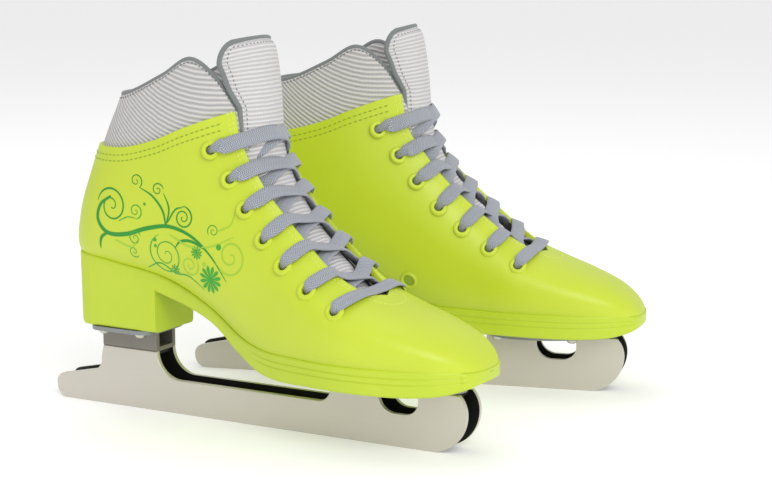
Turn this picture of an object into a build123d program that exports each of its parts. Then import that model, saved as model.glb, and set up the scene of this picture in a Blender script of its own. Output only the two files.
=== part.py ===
from build123d import *
import os
from math import cos, hypot, pi, radians, sin

# A pair of twin-blade beginner's ice skates. Every piece is drawn once, in the right skate's own frame:
# +X to the toe, +Y to the inner side of the foot, +Z up, with the floor at z = 0 and y = 0 midway between
# the two blades. The left skate is the mirror image. All sizes are millimetres.

# How the pair stands: toes turned out, the left skate a little ahead
TOE_OUT = 7.2
STANCE = 120.0
LEAD = 36.5
PAIR_CENTRE = (4.74, 0.0)

# Twin-blade runner, bent from one sheet
BLADE_LENGTH = 250.0
BLADE_THICKNESS = 2.6
RUNNER_WIDTH = 17.0
RUNNER_TOP = 30.0
BAR_HEIGHT = 18.0
HEEL_POST = (-93.0, -58.0)
HEEL_POST_TOP = 32.0
BALL_POST_REAR = 48.0
CUTOUT = (76.0, 98.5)
CUTOUT_FLOOR = 16.7
TOE_POST_FRONT = 121.0
WEBS = (
    (HEEL_POST[0] + 1.5, HEEL_POST[1] - 1.5, HEEL_POST_TOP),
    (BALL_POST_REAR + 2.0, CUTOUT[0] - 2.0, RUNNER_TOP),
    (CUTOUT[1] + 1.0, TOE_POST_FRONT - 2.0, RUNNER_TOP),
)

# Plates, bracket and fasteners
PLATE_THICKNESS = 2.2
HEEL_SEAT = 44.5
SCREW_HEAD = 7.0
SCREW_LENGTH = 11.0
SCREW_CORE = 3.6
RIVET_HEAD = 5.0
RIVET_BODY = 3.4

# Boot walls
SHELL_WALL = 2.6
LINER_GAP = 0.3
LINER_WALL = 2.4
TONGUE_GAP = 0.7
TONGUE_THICKNESS = 6.0
INSOLE_THICKNESS = 3.5
SOLE_BOTTOM = RUNNER_TOP + PLATE_THICKNESS
PIPING = 3.0

# Lacing: how far each stretch of the lace lies inside the form's outer surface
LACE_ON_SHELL = -0.9
LACE_OVER = 3.1
LACE_UNDER = 4.7
LACE_INSIDE = 3.7
LACE_WIDTH = 8.0
LACE_THICKNESS = 1.2
EYELET_HOLE = 4.4

# Stations of the boot's form, from toe to shaft. Each is the line of one cross-section in side view:
# top (x, z), bottom (x, z), half width and sideways offset of its centre.
STATIONS = (
    ((134.2, 45.5), (133.6, 41.5), 8.0, -1.5),
    ((132.0, 49.2), (131.0, 39.8), 15.0, -1.8),
    ((127.5, 54.0), (125.5, 38.7), 21.0, -2.2),
    ((119.0, 59.8), (116.5, 38.2), 27.0, -3.0),
    ((104.0, 66.3), (101.0, 38.0), 32.5, -4.2),
    ((87.0, 72.6), (82.0, 38.0), 36.0, -5.5),
    ((71.0, 80.0), (62.0, 38.0), 37.0, -6.0),
    ((57.0, 91.5), (42.0, 38.0), 35.0, -6.0),
    ((44.0, 104.5), (22.0, 39.5), 32.5, -5.0),
    ((33.0, 116.5), (4.0, 46.0), 30.5, -3.5),
    ((24.5, 128.5), (-18.0, 60.0), 29.0, -2.0),
    ((19.5, 140.0), (-46.0, 72.0), 28.5, -1.0),
    ((17.7, 150.0), (-83.0, 77.5), 28.5, -0.3),
    ((17.5, 160.0), (-104.0, 82.5), 29.0, 0.0),
    ((17.3, 169.0), (-103.5, 104.0), 29.0, 0.0),
    ((16.6, 178.0), (-95.0, 128.0), 28.8, 0.0),
    ((15.6, 187.0), (-86.5, 148.5), 28.6, 0.0),
    ((14.0, 196.0), (-79.0, 166.0), 28.4, 0.0),
    ((12.0, 206.0), (-73.0, 186.0), 28.2, 0.0),
)
THINNEST_END = 8.0
WIDEST = 0.48
TOP_POWER = 2.3
BOTTOM_POWER = 3.0
SECTION_POINTS = 20

# Lace holes of one side, from the ankle down, as station and angle on the form, and the edges of the
# facings beside them. Angles are degrees up from the inner side of the foot.
EYELETS = ((13.14, 29.0), (11.47, 31.0), (10.3, 27.5), (9.2, 27.0), (8.15, 27.5), (7.1, 29.0), (6.05, 32.0))
FACING_ANGLES = (46.0, 50.0, 53.0, 55.5, 57.5, 62.0, 66.0)

# Side view of the outsole: underside with the heel block, and the line that its top edge follows
ARCH = ((24.0, SOLE_BOTTOM), (2.0, 40.5), (-18.0, 55.0), (-51.0, 66.5))
SOLE_TOP = ((138.0, 45.5), (118.0, 42.0), (40.0, 42.0), (20.0, 43.5), (2.0, 50.0), (-19.0, 64.0),
            (-47.0, 75.5), (-66.0, 79.3), (-108.0, 85.5))
HEEL_BREAST = -51.5

# Outline of the outsole seen from above, round the toe from heel to heel
SOLE_OUTER = ((-75.0, -26.0), (-48.0, -28.0), (-15.0, -28.5), (20.0, -35.5), (60.0, -44.0), (98.0, -38.5),
              (121.0, -26.5), (132.5, -13.0))
SOLE_INNER = ((132.5, 10.5), (121.0, 22.0), (98.0, 30.5), (66.0, 32.5), (20.0, 24.5), (-15.0, 23.5),
              (-48.0, 26.0), (-75.0, 26.0))
SOLE_TOE = (136.0, -1.5)
SOLE_HEEL = (-103.0, 0.0)

# Side view of the top edges of the shell and of the liner's collar, back to front
SHELL_EDGE = ((-100.0, 143.0), (-66.0, 142.5), (-43.0, 147.5), (-24.0, 155.0), (0.0, 163.0), (20.0, 166.0))
COLLAR_EDGE = ((-90.0, 168.0), (-64.0, 169.5), (-40.0, 179.5), (-23.0, 188.5), (-9.0, 179.0), (0.5, 163.0))
COLLAR_THROAT = ((0.5, 163.0), (-11.0, 149.0), (-7.0, 131.0), (5.0, 112.0), (18.0, 98.0), (32.0, 86.5), (47.0, 76.0),
                 (62.0, 67.5), (74.0, 66.0), (84.0, 80.0))
TOE_PLATE_EDGE = ((46.0, 0.0), (49.0, 12.0), (58.0, 20.0), (72.0, 23.0), (90.0, 20.5), (106.0, 14.5),
                  (117.0, 7.5), (120.5, 0.0))
TONGUE_HINGE = (11.3, 166.0)
TONGUE_SPLIT = 0.4
TONGUE_REAR = ((-7.0, 204.0), (-5.0, 180.0), (-2.0, 160.0), (4.0, 140.0), (16.0, 116.0), (34.0, 94.0),
               (56.0, 76.0), (78.0, 62.0))
TONGUE_TOP = 200.0
INSOLE_LINE = ((-101.0, 84.0), (-80.0, 80.5), (-46.0, 73.0), (-18.0, 60.5), (4.0, 46.5), (22.0, 40.0),
               (42.0, 38.2), (100.0, 38.2), (120.0, 39.0))
THROAT_END = 80.0
THROAT_DEPTH = 20.0


def unit(dx, dz):
    """Length of a side-view vector, and its direction."""
    length = hypot(dx, dz)
    return length, dx / length, dz / length


def station_plane(top, bottom, centre_y, share):
    """Plane of one cross-section, with its local x along +Y and its local y towards the top."""
    length, ux, uz = unit(top[0] - bottom[0], top[1] - bottom[1])
    origin = (bottom[0] + ux * length * share, centre_y, bottom[1] + uz * length * share)
    return Plane(origin=origin, x_dir=(0, 1, 0), z_dir=(uz, 0, -ux)), length


def section_points(half_width, up, down):
    """Closed outline of a cross-section: rounder above its widest level, squarer below it."""
    points = []
    for k in range(SECTION_POINTS):
        angle = 2 * pi * k / SECTION_POINTS
        across, along = cos(angle), sin(angle)
        power = TOP_POWER if along > 0 else BOTTOM_POWER
        reach = up if along > 0 else down
        x = half_width * abs(across) ** (2 / power) * (1 if across > 0 else -1)
        y = reach * abs(along) ** (2 / power) * (1 if along > 0 else -1)
        points.append((x, y))
    return points


def boot_form(inset):
    """Solid of the boot's outer form, drawn in by a wall thickness all round."""
    least = inset / WIDEST + THINNEST_END if inset > 0 else 0
    with BuildPart() as form:
        for top, bottom, half_width, centre_y in STATIONS:
            plane, length = station_plane(top, bottom, centre_y, 1 - WIDEST)
            if length > least:
                outline = section_points(half_width - inset, length * WIDEST - inset,
                                         length * (1 - WIDEST) - inset)
                with BuildSketch(plane):
                    with BuildLine():
                        Polyline(*outline, close=True)
                    make_face()
        loft(ruled=True)
    return form.part


def side_prism(make_outline, half_depth=80.0):
    """Prism across the boot from a closed outline drawn in side view."""
    with BuildPart() as prism:
        with BuildSketch(Plane.XZ):
            with BuildLine():
                make_outline()
            make_face()
        extrude(amount=half_depth, both=True)
    return prism.part


def form_point(station, angle, inset):
    """Point of the form, drawn in by a wall thickness, at a station and an angle in degrees."""
    first = min(int(station), len(STATIONS) - 2)
    share = station - first
    across, along = cos(radians(angle)), sin(radians(angle))
    ends = []
    for top, bottom, half_width, centre_y in STATIONS[first:first + 2]:
        length, ux, uz = unit(top[0] - bottom[0], top[1] - bottom[1])
        side = (half_width - inset) * abs(across) ** (2 / TOP_POWER) * (1 if across > 0 else -1)
        rise = length * (1 - WIDEST) + (length * WIDEST - inset) * along ** (2 / TOP_POWER)
        ends.append(Vector(bottom[0] + ux * rise, centre_y + side, bottom[1] + uz * rise))
    return ends[0] * (1 - share) + ends[1] * share


def above(*edges, reach=240.0):
    """Prism of everything above a line drawn in side view as one or more curves, end to end."""
    start, end = edges[0][0], edges[-1][-1]

    def outline():
        for edge in edges:
            Spline(*edge)
        Polyline(end, (end[0] + reach, end[1]), (end[0] + reach, reach), (start[0] - reach, reach),
                 (start[0] - reach, start[1]), start)
    return side_prism(outline)


def lace_strip(stops):
    """Flat lace through a list of stops, each a station, an angle, an inset and a width."""
    points = [form_point(station, angle, inset) for station, angle, inset, width in stops]
    outer = [form_point(station, angle, inset - 1) for station, angle, inset, width in stops]
    with BuildPart() as strip:
        for k, point in enumerate(points):
            along = points[min(k + 1, len(points) - 1)] - points[max(k - 1, 0)]
            out = outer[k] - point
            across = out.cross(along).normalized()
            with BuildSketch(Plane(origin=point, x_dir=across, z_dir=along.normalized())):
                Rectangle(stops[k][3], LACE_THICKNESS)
        loft(ruled=True)
    return strip.part


def side_angle(angle, side):
    """Angle on the inner side (+1) or the outer side (-1) of the foot."""
    return angle if side > 0 else 180 - angle


def placed(piece, side):
    """The piece as part of the right skate (-1) or mirrored into the left one (+1)."""
    if side > 0:
        piece = mirror(piece, about=Plane.XZ)
    centre_x = side * LEAD / 2 - PAIR_CENTRE[0]
    centre_y = side * STANCE / 2 - PAIR_CENTRE[1]
    return piece.moved(Location((centre_x, centre_y, 0), (0, 0, side * TOE_OUT)))


def export_pair(piece, name):
    """Write the right-hand piece and its mirror image, each as its own node."""
    for side, word in ((-1, "right"), (1, "left")):
        part = placed(piece, side)
        part.label = word + "_" + name
        export_step(part, "parts/" + part.label + ".step")


os.makedirs("parts", exist_ok=True)

LINER_OUT = SHELL_WALL + LINER_GAP
LINER_IN = LINER_OUT + LINER_WALL
TONGUE_OUT = LINER_IN + TONGUE_GAP
FORM_OUTER = boot_form(0)

# Line of the facings, from the throat's end up to the top of the shell
throat_line = unit(-81.0, 85.5)
throat_plane = Plane(origin=(THROAT_END, 0, 76.0), x_dir=(0, 1, 0),
                     z_dir=(throat_line[2], 0, -throat_line[1]))
with BuildPart() as throat:
    with BuildSketch(throat_plane.offset(-THROAT_DEPTH)):
        with BuildLine():
            Spline((-5.5, 0), (-17.0, 9.0), (-22.5, 28.0), (-20.5, 62.0), (-20.0, 100.0), (-26.0, 165.0))
            Line((-26.0, 165.0), (26.0, 165.0))
            Spline((26.0, 165.0), (20.0, 100.0), (15.5, 62.0), (12.0, 28.0), (6.0, 9.0), (-5.5, 0))
        make_face()
    extrude(amount=THROAT_DEPTH + 60)

# Pins through the lace holes of both facings
with BuildPart() as lace_holes:
    for station, angle in EYELETS:
        for side in (-1, 1):
            hole_in = form_point(station, side_angle(angle, side), SHELL_WALL + 2)
            hole_out = form_point(station, side_angle(angle, side), -2)
            with BuildSketch(Plane(origin=hole_in, z_dir=hole_out - hole_in)):
                Circle(EYELET_HOLE / 2)
            extrude(amount=(hole_out - hole_in).length)

# Boot shell: one moulded wall with a slanting top edge, an open throat and seven pairs of lace holes
with BuildPart() as boot_shell:
    add(FORM_OUTER)
    add(boot_form(SHELL_WALL), mode=Mode.SUBTRACT, clean=False)
    add(above(SHELL_EDGE), mode=Mode.SUBTRACT, clean=False)
    add(throat.part, mode=Mode.SUBTRACT, clean=False)
    add(lace_holes.part, mode=Mode.SUBTRACT, clean=False)
export_pair(boot_shell.part, "boot_shell")


def sole_outline(spread):
    """Outline of the outsole seen from above, with every point moved out from the middle."""
    widen = 1 + spread / 30.0
    outer = [(x, y * widen) for x, y in SOLE_OUTER]
    inner = [(x, y * widen) for x, y in SOLE_INNER]
    toe = (SOLE_TOE[0] + spread, SOLE_TOE[1])
    heel = (SOLE_HEEL[0] - spread, SOLE_HEEL[1])
    return [heel] + outer + [toe] + inner


def outsole_side():
    """Closed side view of the outsole and heel block."""
    Spline(*SOLE_TOP)
    Polyline(SOLE_TOP[-1], (-108.0, HEEL_SEAT), (HEEL_BREAST, HEEL_SEAT), ARCH[-1])
    Spline(*ARCH[::-1])
    Line(ARCH[0], (105.0, SOLE_BOTTOM))
    Spline((105.0, SOLE_BOTTOM), (125.0, 34.5), (138.0, 40.0), tangents=((1, 0), (0.8, 0.6)))
    Line((138.0, 40.0), SOLE_TOP[0])


TOE_SCREWS = ((56.0, 15.0), (56.0, -15.0), (97.0, 13.5), (97.0, -13.5))
HEEL_SCREWS = ((-88.0, 13.5), (-88.0, -13.5), (-64.0, 14.0), (-64.0, -14.0))
TOE_RIVETS = ((54.5, 0.0), (64.0, 0.0), (108.0, 0.0))
HEEL_RIVETS = ((-84.0, 0.0), (-67.0, 0.0))

# Outsole: waisted sole and tapered heel block moulded as one, cupped round the shell
with BuildPart() as outsole:
    for height, spread in ((28.0, -2.6), (47.0, 0.0), (100.0, 2.5)):
        with BuildSketch(Plane.XY.offset(height)):
            with BuildLine():
                Spline(*sole_outline(spread), periodic=True)
            make_face()
    loft(ruled=True)
    add(side_prism(outsole_side), mode=Mode.INTERSECT, clean=False)
    add(FORM_OUTER, mode=Mode.SUBTRACT, clean=False)
    with BuildSketch(Plane.XY.offset(SOLE_BOTTOM)):
        with Locations(*TOE_SCREWS):
            Circle(SCREW_CORE / 2)
    extrude(amount=5.3, mode=Mode.SUBTRACT, clean=False)
    with BuildSketch(Plane.XY.offset(HEEL_SEAT)):
        with Locations(*HEEL_SCREWS):
            Circle(SCREW_CORE / 2)
    extrude(amount=14, mode=Mode.SUBTRACT, clean=False)
export_pair(outsole.part, "outsole")

# Liner: inner boot with a collar that stands above the shell
with BuildPart() as collar_above:
    add(above(COLLAR_EDGE, COLLAR_THROAT))
with BuildPart() as liner:
    add(boot_form(LINER_OUT))
    add(boot_form(LINER_IN), mode=Mode.SUBTRACT, clean=False)
    add(collar_above.part, mode=Mode.SUBTRACT, clean=False)
export_pair(liner.part, "liner")

def collar_band():
    """Closed side view of the piping along the collar's edge."""
    raised = [(x + PIPING * 0.45, z + PIPING * 0.9) for x, z in COLLAR_EDGE[::-1]]
    Spline(*COLLAR_EDGE)
    Line(COLLAR_EDGE[-1], raised[0])
    Spline(*raised)
    Line(raised[-1], COLLAR_EDGE[0])


# Piping bound round the collar's edge
with BuildPart() as collar_piping:
    add(boot_form(LINER_OUT - 0.2))
    add(boot_form(LINER_IN - 0.5), mode=Mode.SUBTRACT, clean=False)
    add(side_prism(collar_band), mode=Mode.INTERSECT, clean=False)
export_pair(collar_piping.part, "collar_piping")


def tongue_side():
    """Closed side view of the tongue's length and depth, from under the vamp up past its top edge."""
    Spline(*TONGUE_REAR)
    Polyline(TONGUE_REAR[-1], (84.0, 84.0), (84.0, 230.0), (-12.0, 230.0), TONGUE_REAR[0])


FORM_TONGUE_OUTER = boot_form(TONGUE_OUT)
FORM_TONGUE_INNER = boot_form(TONGUE_OUT + TONGUE_THICKNESS)

# Tongue: padded strip up the instep, whose top stands free above the shell
with BuildPart() as tongue_whole:
    add(FORM_TONGUE_OUTER)
    add(FORM_TONGUE_INNER, mode=Mode.SUBTRACT, clean=False)
    add(side_prism(tongue_side), mode=Mode.INTERSECT, clean=False)
with BuildPart() as tongue:
    add(tongue_whole.part)
    with BuildSketch(Plane.XY.offset(TONGUE_HINGE[1] - TONGUE_SPLIT)):
        Rectangle(300, 200)
    extrude(amount=60, mode=Mode.SUBTRACT, clean=False)
export_pair(tongue.part, "tongue")


def tongue_front(drop, bottom):
    """Front view of the tongue's free top: straight sides, round corners and an arched top edge."""
    half = 22.5 - drop
    height = TONGUE_TOP - drop
    Polyline((-half, height - 14), (-half, bottom), (half, bottom), (half, height - 14))
    Spline((half, height - 14), (half - 5, height - 4.5), (0, height), (5 - half, height - 4.5),
           (-half, height - 14), tangents=((0, 1), (0, -1)))


def tongue_cap(drop, bottom):
    """Prism along the boot from the front view of the tongue's free top."""
    with BuildPart() as cap:
        with BuildSketch(Plane.YZ.offset(-20.0)):
            with BuildLine():
                tongue_front(drop, bottom)
            make_face()
        extrude(amount=60)
    return cap.part


with BuildPart() as tongue_top:
    add(tongue_whole.part)
    add(tongue_cap(PIPING, TONGUE_HINGE[1]), mode=Mode.INTERSECT, clean=False)
export_pair(tongue_top.part, "tongue_top")

# Piping bound round the free top of the tongue
with BuildPart() as tongue_piping:
    add(tongue_whole.part)
    add(tongue_cap(0, TONGUE_HINGE[1]), mode=Mode.INTERSECT, clean=False)
    add(tongue_cap(PIPING, TONGUE_HINGE[1] - 5), mode=Mode.SUBTRACT, clean=False)
export_pair(tongue_piping.part, "tongue_piping")


def insole_side():
    """Closed side view of the insole, a layer on the bottom of the liner."""
    top = [(x, z + LINER_IN + INSOLE_THICKNESS) for x, z in INSOLE_LINE]
    Spline(*top)
    Polyline(top[-1], (top[-1][0], 20.0), (top[0][0], 20.0), top[0])


# Insole: foam footbed lying in the liner
with BuildPart() as insole:
    add(boot_form(LINER_IN + LINER_GAP))
    add(side_prism(insole_side), mode=Mode.INTERSECT, clean=False)
export_pair(insole.part, "insole")


def runner_side():
    """Closed side view of one blade: tail, heel post, waist, cut-out and toe."""
    rear, front = HEEL_POST
    cut_rear, cut_front = CUTOUT
    half = BLADE_LENGTH / 2
    tail_low = (7.0 - half, 0.0)
    tail_end = (-half, 7.0)
    tail_high = (4.5 - half, 13.6)
    ThreePointArc(tail_low, (2.0 - half, 2.0), tail_end)
    ThreePointArc(tail_end, (1.0 - half, 11.5), tail_high)
    Line(tail_high, (rear - 7.0, 18.0))
    ThreePointArc((rear - 7.0, 18.0), (rear - 2.5, 20.5), (rear - 1.5, 25.0))
    Polyline((rear - 1.5, 25.0), (rear, HEEL_POST_TOP), (front, HEEL_POST_TOP))
    ThreePointArc((front, HEEL_POST_TOP), (front + 4.0, 22.5), (front + 14.0, BAR_HEIGHT))
    Line((front + 14.0, BAR_HEIGHT), (BALL_POST_REAR - 7.0, BAR_HEIGHT))
    ThreePointArc((BALL_POST_REAR - 7.0, BAR_HEIGHT), (BALL_POST_REAR - 1.5, 20.5), (BALL_POST_REAR, 26.0))
    Polyline((BALL_POST_REAR, 26.0), (BALL_POST_REAR, RUNNER_TOP), (cut_rear, RUNNER_TOP),
             (cut_rear, CUTOUT_FLOOR + 8))
    ThreePointArc((cut_rear, CUTOUT_FLOOR + 8), (cut_rear + 3.0, CUTOUT_FLOOR + 2.4), (cut_rear + 9, CUTOUT_FLOOR))
    Line((cut_rear + 9, CUTOUT_FLOOR), (cut_front - 8, CUTOUT_FLOOR))
    ThreePointArc((cut_front - 8, CUTOUT_FLOOR), (cut_front - 2.4, CUTOUT_FLOOR + 2.1),
                  (cut_front, CUTOUT_FLOOR + 7))
    Polyline((cut_front, CUTOUT_FLOOR + 7), (cut_front, RUNNER_TOP), (TOE_POST_FRONT, RUNNER_TOP))
    ThreePointArc((TOE_POST_FRONT, RUNNER_TOP), (half - 1.2, 25.8), (half, 20.7))
    ThreePointArc((half, 20.7), (half - 5.6, 6.2), (half - 20.0, 0.0))
    Line((half - 20.0, 0.0), tail_low)


# Runner: two flat blades side by side, joined by webs at the heel, ball and toe posts
with BuildPart() as runner:
    for inner_face in (RUNNER_WIDTH / 2 - BLADE_THICKNESS, -RUNNER_WIDTH / 2):
        with BuildSketch(Plane.XZ.offset(-inner_face)):
            with BuildLine():
                runner_side()
            make_face()
        extrude(amount=-BLADE_THICKNESS)
    for start, end, top in WEBS:
        with BuildSketch(Plane.XY.offset(top - PLATE_THICKNESS)):
            with Locations(((start + end) / 2, 0)):
                Rectangle(end - start, RUNNER_WIDTH - 1)
        extrude(amount=PLATE_THICKNESS)
    with BuildSketch(Plane.XY.offset(20)):
        with Locations(*TOE_RIVETS, *HEEL_RIVETS):
            Circle(RIVET_BODY / 2)
    extrude(amount=20, mode=Mode.SUBTRACT)
    fillet(runner.edges().filter_by(GeomType.LINE).filter_by(Axis.X).group_by(Axis.Y)[0]
           .sort_by(Axis.Z)[-4:], 0.6)
export_pair(runner.part, "runner")

# Toe plate: egg-shaped plate under the forefoot, with a hole above the runner's cut-out
with BuildPart() as toe_plate:
    with BuildSketch(Plane.XY.offset(RUNNER_TOP)):
        with BuildLine():
            Spline(*TOE_PLATE_EDGE, *[(x, -y) for x, y in TOE_PLATE_EDGE[-2:0:-1]], periodic=True)
        make_face()
        with Locations(((CUTOUT[0] + CUTOUT[1]) / 2, 0)):
            Ellipse(7.5, 5.4, mode=Mode.SUBTRACT)
        with Locations(*TOE_SCREWS):
            Circle(SCREW_CORE / 2, mode=Mode.SUBTRACT)
        with Locations(*TOE_RIVETS):
            Circle(RIVET_BODY / 2, mode=Mode.SUBTRACT)
    extrude(amount=PLATE_THICKNESS)
export_pair(toe_plate.part, "toe_plate")

# Heel plate: flat plate between the heel block and its bracket
with BuildPart() as heel_plate:
    with BuildSketch(Plane.XY.offset(HEEL_SEAT - PLATE_THICKNESS)):
        with Locations(((HEEL_POST[0] + HEEL_POST[1]) / 2 - 1, 0)):
            RectangleRounded(HEEL_POST[1] - HEEL_POST[0] + 6, 37.0, 9.0)
        with Locations(*HEEL_SCREWS):
            Circle(SCREW_CORE / 2, mode=Mode.SUBTRACT)
    extrude(amount=PLATE_THICKNESS)
export_pair(heel_plate.part, "heel_plate")

# Heel bracket: channel that stands on the runner's heel post and carries the heel plate
with BuildPart() as heel_bracket:
    with BuildSketch(Plane.YZ.offset(HEEL_POST[0])):
        with Locations((0, (HEEL_POST_TOP + HEEL_SEAT - PLATE_THICKNESS) / 2)):
            Rectangle(RUNNER_WIDTH, HEEL_SEAT - PLATE_THICKNESS - HEEL_POST_TOP)
        with Locations((0, (HEEL_POST_TOP + HEEL_SEAT) / 2)):
            Rectangle(RUNNER_WIDTH - 2 * BLADE_THICKNESS, HEEL_SEAT - HEEL_POST_TOP - 2 * PLATE_THICKNESS,
                      mode=Mode.SUBTRACT)
    extrude(amount=HEEL_POST[1] - HEEL_POST[0])
    with BuildSketch(Plane.XY.offset(HEEL_POST_TOP)):
        with Locations(*HEEL_RIVETS):
            Circle(RIVET_BODY / 2)
    extrude(amount=PLATE_THICKNESS, mode=Mode.SUBTRACT)
    fillet(heel_bracket.edges().filter_by(Axis.X).group_by(Axis.Z)[0], 1.0)
export_pair(heel_bracket.part, "heel_bracket")


def screw_profile(seat, length):
    """Half section of a domed screw whose head hangs below its seat."""
    head, core = SCREW_HEAD / 2, SCREW_CORE / 2
    Polyline((0, seat - 2.4), (0, seat + length), (core, seat + length - core), (core, seat), (head, seat))
    ThreePointArc((head, seat), (head * 0.74, seat - 1.7), (0, seat - 2.4))


def screws(places, seat, length):
    """Group of cross-recessed screws driven upwards at the given places."""
    with BuildPart() as one:
        with BuildSketch(Plane.XZ):
            with BuildLine():
                screw_profile(seat, length)
            make_face()
        revolve(axis=Axis.Z)
        with BuildSketch(Plane.XY.offset(seat - 2.5)):
            Rectangle(4.0, 0.9)
            Rectangle(0.9, 4.0)
        extrude(amount=1.3, mode=Mode.SUBTRACT)
    with BuildPart() as group:
        with Locations(*[(x, y, 0) for x, y in places]):
            add(one.part)
    return group.part


export_pair(screws(TOE_SCREWS, RUNNER_TOP, 7.0), "toe_screws")
export_pair(screws(HEEL_SCREWS, HEEL_SEAT - PLATE_THICKNESS, 15.0), "heel_screws")


def rivets(places, foot, top):
    """Group of round-headed rivets with their heads below a web and their bodies up to a level."""
    with BuildPart() as group:
        with Locations(*[(x, y, (foot + top) / 2) for x, y in places]):
            Cylinder(RIVET_BODY / 2, top - foot)
        with Locations(*[(x, y, foot - 0.7) for x, y in places]):
            Cylinder(RIVET_HEAD / 2, 1.4)
    return group.part


export_pair(rivets(TOE_RIVETS, RUNNER_TOP - PLATE_THICKNESS, SOLE_BOTTOM), "toe_rivets")
export_pair(rivets(HEEL_RIVETS, HEEL_POST_TOP - PLATE_THICKNESS, HEEL_POST_TOP + PLATE_THICKNESS),
            "heel_rivets")

# Lace: one flat woven strip. It leaves each lace hole to the outside, crosses the tongue and goes down
# under the opposite facing to the next hole; a straight bar joins the lowest pair.
with BuildPart() as lace:
    for k in range(len(EYELETS) - 1):
        station, angle = EYELETS[k]
        next_station, next_angle = EYELETS[k + 1]
        for side, height in ((-1, LACE_OVER), (1, LACE_UNDER)):
            run = next_station - station
            add(lace_strip((
                (station, side_angle(angle, side), LACE_ON_SHELL, 4.0),
                (station + 0.06 * run, side_angle(angle + 8, side), LACE_ON_SHELL, LACE_WIDTH),
                (station + 0.25 * run, side_angle(FACING_ANGLES[k] + 4, side), LACE_ON_SHELL, LACE_WIDTH),
                (station + 0.42 * run, side_angle(79, side), height, LACE_WIDTH),
                (station + 0.58 * run, side_angle(79, -side), height, LACE_WIDTH),
                (station + 0.78 * run, side_angle(FACING_ANGLES[k + 1], -side), LACE_INSIDE, LACE_WIDTH),
                (next_station, side_angle(next_angle, -side), LACE_INSIDE, 4.0),
            )))
    station, angle = EYELETS[-1]
    add(lace_strip((
        (station, side_angle(angle, -1), LACE_ON_SHELL, 4.0),
        (station - 0.1, side_angle(angle + 10, -1), LACE_ON_SHELL, LACE_WIDTH),
        (station - 0.25, side_angle(66, -1), LACE_ON_SHELL, LACE_WIDTH),
        (station - 0.25, side_angle(66, 1), LACE_ON_SHELL, LACE_WIDTH),
        (station - 0.1, side_angle(angle + 10, 1), LACE_ON_SHELL, LACE_WIDTH),
        (station, side_angle(angle, 1), LACE_ON_SHELL, 4.0),
    )))
    add(boot_shell.part, mode=Mode.SUBTRACT, clean=False)
    add(tongue_whole.part, mode=Mode.SUBTRACT, clean=False)
export_pair(lace.part, "lace")
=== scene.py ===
from math import cos, pi, radians, sin

import bmesh
import bpy
import numpy as np
from mathutils import Matrix, Vector


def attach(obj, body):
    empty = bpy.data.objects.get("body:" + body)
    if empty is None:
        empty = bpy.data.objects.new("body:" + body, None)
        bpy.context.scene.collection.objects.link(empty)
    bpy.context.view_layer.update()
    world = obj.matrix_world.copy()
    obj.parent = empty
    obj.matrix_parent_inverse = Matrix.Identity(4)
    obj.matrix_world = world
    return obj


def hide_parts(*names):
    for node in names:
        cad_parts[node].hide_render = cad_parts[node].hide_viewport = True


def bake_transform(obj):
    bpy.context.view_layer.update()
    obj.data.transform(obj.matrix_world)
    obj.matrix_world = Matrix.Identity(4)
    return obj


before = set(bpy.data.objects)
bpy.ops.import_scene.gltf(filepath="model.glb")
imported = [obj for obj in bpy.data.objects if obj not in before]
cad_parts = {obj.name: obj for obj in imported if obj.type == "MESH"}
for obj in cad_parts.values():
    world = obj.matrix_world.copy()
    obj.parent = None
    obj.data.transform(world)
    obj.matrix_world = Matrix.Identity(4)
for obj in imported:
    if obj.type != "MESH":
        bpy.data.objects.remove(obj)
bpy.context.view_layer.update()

# ---------------------------------------------------------------- the pair
# Two skates, mirror images of each other, stand side by side with toes turned out and the left one ahead.
# Each piece is drawn once, for the right skate: millimetres, +X to the toe, +Y to the inner side of the
# foot, floor at z = 0.
TOE_OUT = 7.2
STANCE = 120.0
LEAD = 36.5
PAIR_CENTRE = (4.74, 0.0)
SIDES = ((-1, "right"), (1, "left"))


def to_row(points, side):
    """Points of a skate's own frame, placed in the pair's frame in metres."""
    x, y, z = np.asarray(points, float).reshape(-1, 3).T
    y = -side * y
    turn = radians(side * TOE_OUT)
    row_x = side * LEAD / 2 - PAIR_CENTRE[0] + x * cos(turn) - y * sin(turn)
    row_y = side * STANCE / 2 - PAIR_CENTRE[1] + x * sin(turn) + y * cos(turn)
    return np.stack([row_x, row_y, z], 1) * 0.001

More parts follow.
